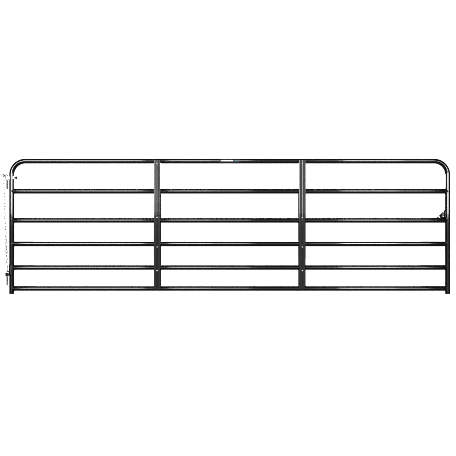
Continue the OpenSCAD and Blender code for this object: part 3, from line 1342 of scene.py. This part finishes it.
@dataclass
class UpperHinge:
    """The eye bolt through the left post, the two blocks that hug the post, and the nut."""

    places: Places
    eye: float = 16.5 * MM
    bore: float = 8.04 * MM
    edge: float = 1.0 * MM
    bolt_room: float = 0.3 * MM
    flank: float = 7.2 * MM
    sunk: float = 5 * MM
    plain_short: float = 2 * MM
    shoulder: float = 1.2 * MM
    pitch: float = 2.31 * MM
    thread_deep: float = 1.3 * MM
    thread_room: float = 0.02 * MM
    thread_under: float = 3 * MM
    thread_short: float = 1.4 * MM
    nose: float = 1.2 * MM
    nose_taper: float = 0.8 * MM
    nut_room: float = 0.12 * MM
    nut_face: float = 0.96
    nut_lead: float = 0.9 * MM
    past: float = 1 * MM

    def eye_ring(self) -> Shape:
        """Shapes the bolt's eye.

        Returns:
            The eye.
        """
        low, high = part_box("upper_eye_bolt")
        shape = Shape().sleeve(self.bore, self.eye, high.z - low.z)
        return shape.bevel(self.edge, 3).move(at(self.places.hinge, self.places.deep, low.z))

    def shank(self) -> Shape:
        """Shapes the bolt's rod: plain through the post, then threaded to its end.

        Returns:
            The rod.
        """
        p = self.places
        start = p.hinge + self.eye - self.sunk
        plain = p.left + p.tube - self.plain_short - start
        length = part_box("upper_eye_bolt")[1].x - start
        core = p.rod - self.thread_deep
        rod = Shape().sweep(Route(at(0, 0, 0), p.rod).ahead(plain).ahead(self.shoulder, core), 48)
        rod.add(Shape().thread(
            p.rod - self.thread_room, core, self.pitch, plain - self.thread_under, length - self.thread_short
        ))
        nose = Route(at(0, 0, length - self.nose - self.nose_taper), core).ahead(self.nose)
        rod.add(Shape().sweep(nose.ahead(self.nose_taper, core - self.nose_taper), 32))
        return rod.move(at(start, p.deep, p.upper_eye, (90, "Y")))

    def block(self, turned: float) -> Shape:
        """Shapes a block that hugs the post.

        Args:
            turned: 0 degrees for the block towards the gate and 180 for the outer one.

        Returns:
            The block.
        """
        p = self.places
        low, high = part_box("saddle_washers")
        half, tall = (high.y - low.y) / 2, high.z - low.z
        outer, back = high.x - p.left, p.tube - self.flank
        shape = Shape().slab([(back, -half), (outer, -half), (outer, half), (back, half)], tall)
        shape.bevel(self.edge, 3).move(at(0, 0, -tall / 2))
        shape.cut(Shape().rod(p.tube + p.gap, 3 * tall, 96))
        shape.cut(Shape().rod(p.rod + self.bolt_room, 6 * p.tube).move(at(0, 0, 0, (90, "Y"))))
        return shape.tidy().move(at(p.left, p.deep, p.upper_eye, (turned, "Z")))

    def nut(self) -> Shape:
        """Shapes the hexagon nut, its corners turned off at both faces.

        Returns:
            The nut.
        """
        p = self.places
        low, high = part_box("hinge_nut")
        thick, wide, tall = high - low
        corner = max(tall, wide) / 2
        face = corner * cos(pi / 6) * self.nut_face
        shape = Shape()
        bmesh.ops.create_cone(
            shape.bm, cap_ends=True, segments=6, radius1=corner, radius2=corner, depth=thick,
            matrix=at(0, 0, thick / 2),
        )
        # The drum keeps the nut's round outline and the drill takes its bore; both stay off the axis.
        skin, rim = 0.001 * MM, corner + 0.02 * MM
        drum = [(0.5 * MM, -skin), (face, -skin), (rim, (corner - face) * tan(radians(30)))]
        bore = p.rod + self.nut_room
        mouth = bore + self.nut_lead + self.past
        drill = [(0.2 * MM, -self.past), (mouth, -self.past), (bore, self.nut_lead)]
        for half, sides, leave in ((drum, 64, Cut.SHARED), (drill, 48, Cut.AWAY)):
            outline = half + [(r, thick - z) for r, z in reversed(half)]
            shape.cut(Shape().lathe(outline, sides), leave)
        spin = 0 if tall > wide else 30
        return shape.tidy().move(at(low.x, p.deep, p.upper_eye, (90, "Y"), (spin, "Z")))

    def build(self, bench: Bench) -> None:
        """Makes and dresses the upper hinge.

        Args:
            bench: Where the pieces are finished.
        """
        zinc = bench.finishes.zinc
        bench.finish(self.eye_ring(), "bolt_eye", "hinge_bolt", zinc, ["upper_eye_bolt"], 30)
        bench.finish(self.shank(), "bolt_shank", "hinge_bolt", zinc, sharp=50)
        blocks = self.block(180).add(self.block(0))
        bench.finish(blocks, "post_blocks", "gate", zinc, ["saddle_washers"], 30)
        oxide = bench.finishes.oxide
        bench.finish(self.nut(), "hex_nut", "hinge_bolt", oxide, ["hinge_nut"], 25)


@dataclass
class Hook:
    """A bent rod that hangs in an eye: a pin above, and a leg with a coarse screw thread below."""

    places: Places
    node: str
    eye: float
    facing: float
    bend: float = 16 * MM
    bend_rings: int = 22
    droop: float = 18.0
    pin: float = 27 * MM
    pin_trim: float = 0.1 * MM
    pin_step: float = 0.4 * MM
    chamfer: float = 1.2 * MM
    foot_chamfer: float = 0.6 * MM
    plain: float = 6 * MM
    crest: float = 7.69 * MM
    root: float = 5.9 * MM
    pitch: float = 4.9 * MM
    overlap: float = 0.8 * MM
    taper: float = 12 * MM
    point: float = 2.5 * MM
    half_eye: float = 14 * MM

    def rod(self) -> Shape:
        """Bends the plain part of the rod, from under the eye over the bend to the pin's end.

        Returns:
            The rod.
        """
        p = self.places
        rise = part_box(self.node)[1].z - self.eye - self.bend - p.rod
        foot = -self.half_eye - self.plain
        route = Route(at(0, 0, foot), p.rod - self.foot_chamfer).ahead(self.foot_chamfer, p.rod)
        route.ahead(rise - foot - self.foot_chamfer)
        route.bend(self.bend, radians(90 + self.droop), self.bend_rings)
        radius = p.rod - self.pin_trim
        route.ahead(self.pin_step, radius).ahead(self.pin - self.pin_step - self.chamfer)
        return Shape().sweep(route.ahead(self.chamfer, radius - self.chamfer), 48)

    def leg(self) -> Shape:
        """Cuts the threaded leg, its thread running out onto a blunt point.

        Returns:
            The leg.
        """
        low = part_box(self.node)[0].z - self.eye
        top = -self.half_eye - self.plain + self.overlap
        shape = Shape().thread(self.crest, self.root, self.pitch, low, top)

        def point_it(place: Vector) -> Vector:
            """Draws a point in to the taper.

            Args:
                place: The point.

            Returns:
                Its new place.
            """
            most = self.point + (place.z - low) / self.taper * (self.crest - self.point)
            reach = sqrt(place.x ** 2 + place.y ** 2)
            share = min(1.0, most / reach) if reach > SAME_SPOT else 1.0
            return Vector((place.x * share, place.y * share, place.z))

        return shape.shift(point_it)

    def build(self, bench: Bench) -> None:
        """Makes and dresses the hook.

        Args:
            bench: Where the pieces are finished.
        """
        turn = at(self.places.hinge, self.places.deep, self.eye, (self.facing, "Z"))
        zinc = bench.finishes.zinc
        bench.finish(self.rod().move(turn), f"{self.node}_rod", self.node, zinc, [self.node], 32)
        bench.finish(self.leg().move(turn), f"{self.node}_leg", self.node, zinc, sharp=50)


@dataclass
class LatchChain:
    """The end ring and the welded links that hang from it."""

    places: Places
    wire: float = 2.4 * MM
    inside_long: float = 31.4 * MM
    inside_wide: float = 9.4 * MM
    slack: float = 0.3 * MM
    plumb: int = 3
    each: int = 4
    lengths: int = 7
    weld_swell: float = 0.16
    sides: int = 12
    ring_steps: int = 48
    ring_weld_at: float = 0.64
    ring_weld_steps: float = 2.2
    bow_steps: int = 12

    def ring(self) -> Shape:
        """Bends the end ring, with the swelling of its weld low at the back.

        Returns:
            The ring.
        """
        low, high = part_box("chain_ring")
        radius = (high.z - low.z) / 2 - self.wire
        x, y, z = middle_of("chain_ring")
        steps, weld = self.ring_steps, self.ring_steps * self.ring_weld_at
        route = Route(at(x, y - radius, z, (90, "Z")), self.wire)
        route.bend(radius, tau * (steps - 1) / steps, steps - 1)
        swell = [max(0.0, 1 - abs(i - weld) / self.ring_weld_steps) for i in range(steps)]
        route.radii = [self.wire * (1 + self.weld_swell * share) for share in swell]
        return Shape().sweep(route, self.sides, True)

    def link(self) -> Shape:
        """Bends one upright link, its lower bow's wire centred on the origin and its weld half way up a leg.

        Returns:
            The link.
        """
        wide = self.inside_wide + 2 * self.wire
        leg = self.inside_long + 2 * self.wire - wide
        route = Route(at(-wide / 2, 0, wide / 2), self.wire)
        # The weld swells the middle of the first leg.
        for share, swell in ((0.42, 0), (0.06, 1), (0.04, 1), (0.06, 0), (0.42, 0)):
            route.ahead(leg * share, self.wire * (1 + self.weld_swell * swell))
        route.bend(wide / 2, pi, self.bow_steps).ahead(leg)
        route.bend(wide / 2, pi * (self.bow_steps - 1) / self.bow_steps, self.bow_steps - 1)
        return Shape().sweep(route, self.sides, True)

    def places_of_links(self) -> list[Matrix]:
        """Places the links: the first few hang plumb, and the rest lean back to the hinge line.

        Returns:
            Each link's placement, from the top down.
        """
        x, y, _ = middle_of("chain_ring")
        bow = Vector((x, y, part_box("chain_ring")[0].z + self.wire))
        pitch = self.inside_long - self.slack
        count = round((bow.z - self.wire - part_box("chain_7")[0].z) / pitch)
        lean = asin((self.places.hinge - x) / ((count - self.plumb) * pitch))
        found = []
        for number in range(1, count + 1):
            tilt = lean if number > self.plumb else 0.0
            bow = bow + Vector((sin(tilt), 0, -cos(tilt))) * pitch
            turn = Matrix.Rotation(-tilt, 4, "Y") @ Matrix.Rotation(0 if number % 2 else pi / 2, 4, "Z")
            found.append(Matrix.Translation(bow) @ turn)
        return found

    def build(self, bench: Bench) -> None:
        """Makes and dresses the ring and the chain's lengths.

        Args:
            bench: Where the pieces are finished.
        """
        zinc = bench.finishes.zinc
        bench.finish(self.ring(), "end_ring", "chain_1", zinc, ["chain_ring"], 60)
        links = self.places_of_links()
        first = 0
        for number in range(1, self.lengths + 1):
            last = self.plumb + (number - 1) * self.each if number < self.lengths else len(links)
            length = Shape()
            for placement in links[first:last]:
                length.add(self.link().move(placement))
            first = last
            node = f"chain_{number}"
            bench.finish(length.tidy(), f"{node}_links", node, zinc, [node], 60)


@dataclass
class TopLabel:
    """The printed label that wraps the front of the top rail: a dark film with two plain blocks of ink."""

    places: Places
    film: float = 0.3 * MM
    ink: float = 0.06 * MM
    ink_under: float = 0.05 * MM
    ink_low: float = -10.0
    ink_high: float = 21.0
    bar: tuple[float, float] = (14 * MM, 127 * MM)
    block: tuple[float, float] = (145 * MM, 178 * MM)

    def patch(
        self, start: float, end: float, low: float, high: float, inner: float, thick: float
    ) -> Shape:
        """A curved patch on the front of the top rail.

        Args:
            start: Its left end.
            end: Its right end.
            low: Its lower edge, in degrees above the rail's middle.
            high: Its upper edge, in degrees above the rail's middle.
            inner: Distance of its underside from the rail's middle.
            thick: Its thickness.

        Returns:
            The patch.
        """
        shape = Shape().sleeve(inner, inner + thick, end - start, 24, radians(high - low))
        return shape.move(at(start, self.places.deep, self.places.top, (90, "Y"), (-90 - high, "Z")))

    def build(self, bench: Bench) -> None:
        """Makes and dresses the label.

        Args:
            bench: Where the pieces are finished.
        """
        low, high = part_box("label")
        base = self.places.tube + self.places.gap
        wrap = degrees(asin((high.z - low.z) / 2 / base))
        film = self.patch(low.x, high.x, -wrap, wrap, base, self.film)
        bench.finish(film, "label_film", "gate", bench.finishes.film, ["label"], 30)
        under = base + self.film - self.ink_under
        for name, (start, end), material in (
            ("label_bar", self.bar, bench.finishes.white), ("label_block", self.block, bench.finishes.teal)
        ):
            ink = self.patch(low.x + start, low.x + end, self.ink_low, self.ink_high, under, self.ink)
            bench.finish(ink, name, "gate", material, sharp=30)


# ---------------------------------------------------------------- the studio


@dataclass(frozen=True)
class SoftBox:
    """A large soft light that faces the gate."""

    name: str
    middle: tuple[float, float, float]
    wide: float
    tall: float
    brightness: float
    aim: tuple[float, float, float]

    def build(self) -> None:
        """Hangs the light."""
        light = bpy.data.lights.new(self.name, "AREA")
        light.shape = "RECTANGLE"
        light.size, light.size_y = self.wide, self.tall
        light.energy = self.brightness * pi * self.wide * self.tall
        lamp = bpy.data.objects.new(self.name, light)
        back = Vector(self.middle) - Vector(self.aim)
        turn = back.to_track_quat("Z", "Y").to_matrix().to_4x4()
        lamp.matrix_world = Matrix.Translation(self.middle) @ turn
        lamp.visible_camera = False
        bpy.context.scene.collection.objects.link(lamp)


@dataclass
class Studio:
    """A plain white room: pale floor, soft lights and the camera.

    The lights of the row stand side by side in front of the gate. Each has its name, its two ends
    along the gate and its brightness. Those in front of the stays are dim.
    """

    places: Places
    lens: float = 44.0
    sensor: float = 36.0
    far_clip: float = 200.0
    distance: float = 5.25
    eye_height: float = 0.62
    eye_left: float = 0.016
    floor_half: float = 60.0
    pale: Colour = (0.55, 0.55, 0.55)
    paler: Colour = (0.6, 0.6, 0.6)
    white_seen: float = 1.1
    white_mirrored: float = 0.05
    edge_softness: float = 0.8
    row_y: float = -5.3
    row_z: float = 2.05
    row_tall: float = 2.4
    row_aim: float = 0.9
    row: tuple[tuple[str, float, float, float], ...] = (
        ("soft_far_left", -4.0, -1.62, 15.8),
        ("soft_left_gap", -1.62, -1.33, 1.6),
        ("soft_near_left", -1.12, -0.3, 14.0),
        ("soft_middle", -0.3, 0.45, 8.3),
        ("soft_right_gap", 0.45, 1.65, 0.8),
        ("soft_near_right", 1.65, 2.2, 2.4),
        ("soft_right", 2.2, 3.3, 19.5),
        ("soft_far_right", 3.3, 3.92, 9.0),
    )
    others: tuple[SoftBox, ...] = (
        SoftBox("soft_low", (0.0, -5.3, 0.1), 8.0, 1.5, 0.38, (0.0, 0.0, 0.5)),
        SoftBox("soft_back", (0.0, 6.0, 2.2), 8.0, 1.6, 9.0, (0.0, 0.0, 0.6)),
    )

    def floor(self) -> None:
        """Lays the pale floor, which the gloss of the gate doesn't mirror."""
        shape = Shape()
        bmesh.ops.create_grid(shape.bm, x_segments=2, y_segments=2, size=self.floor_half)
        plane = bpy.data.objects.new("floor", shape.mesh("floor"))
        bpy.context.scene.collection.objects.link(plane)
        plane.visible_glossy = False
        paint = Paint("pale_floor")
        plane.data.materials.append(paint.surface({
            "Base Color": paint.blend(paint.noise(1.5), self.pale, self.paler),
            "Roughness": 1.0,
            "Specular IOR Level": 0.0,
            "Emission Color": WHITE,
            "Emission Strength": 1.0,
        }))

    def room(self) -> None:
        """Makes the room white to look at and dim in reflections."""
        world = bpy.data.worlds.new("white_room")
        world.use_nodes = True
        nodes = Nodes(world.node_tree)
        sight = nodes.node("ShaderNodeLightPath", {}, {}, "Is Camera Ray")
        mirrored, seen = (
            nodes.node("ShaderNodeBackground", {}, {"Color": WHITE, "Strength": strength})
            for strength in (self.white_mirrored, self.white_seen)
        )
        mix = nodes.node("ShaderNodeMixShader", {}, {0: sight, 1: mirrored, 2: seen})
        nodes.node("ShaderNodeOutputWorld", {}, {"Surface": mix})
        bpy.context.scene.world = world

    def camera(self) -> None:
        """Stands the camera in front of the gate."""
        data = bpy.data.cameras.new("camera")
        data.lens = self.lens
        data.sensor_width = self.sensor
        data.clip_end = self.far_clip
        camera = bpy.data.objects.new("camera", data)
        p = self.places
        x = (p.left + p.right) / 2 - self.eye_left
        camera.matrix_world = at(x, p.deep - self.distance, self.eye_height, (90, "X"))
        bpy.context.scene.collection.objects.link(camera)
        bpy.context.scene.camera = camera

    def build(self) -> None:
        """Makes the whole studio."""
        self.floor()
        self.room()
        self.camera()
        for name, start, end, brightness in self.row:
            x = (start + end) / 2
            middle, aim = (x, self.row_y, self.row_z), (x, 0.0, self.row_aim)
            SoftBox(name, middle, end - start, self.row_tall, brightness, aim).build()
        for light in self.others:
            light.build()
        bpy.context.scene.view_settings.view_transform = "Standard"
        bpy.context.scene.cycles.filter_width = self.edge_softness


def main() -> None:
    """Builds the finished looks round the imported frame."""
    logging.basicConfig(level=logging.INFO, format="%(name)s: %(message)s")
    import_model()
    places = Places.from_frame()
    bench = Bench(Finishes())
    Studio(places).build()
    parts = (
        GateFrame(places),
        Stay(places, "stay_left"),
        Stay(places, "stay_right"),
        LatchPlate(places),
        LowerHinge(places),
        UpperHinge(places),
        Hook(places, "upper_hook", places.upper_eye, 180.0),
        Hook(places, "lower_hook", places.lower_eye, 90.0),
        LatchChain(places),
        TopLabel(places),
    )
    for part in parts:
        part.build(bench)
    LOG.info("%d pieces", bench.made)


if __name__ == "__main__":
    main()
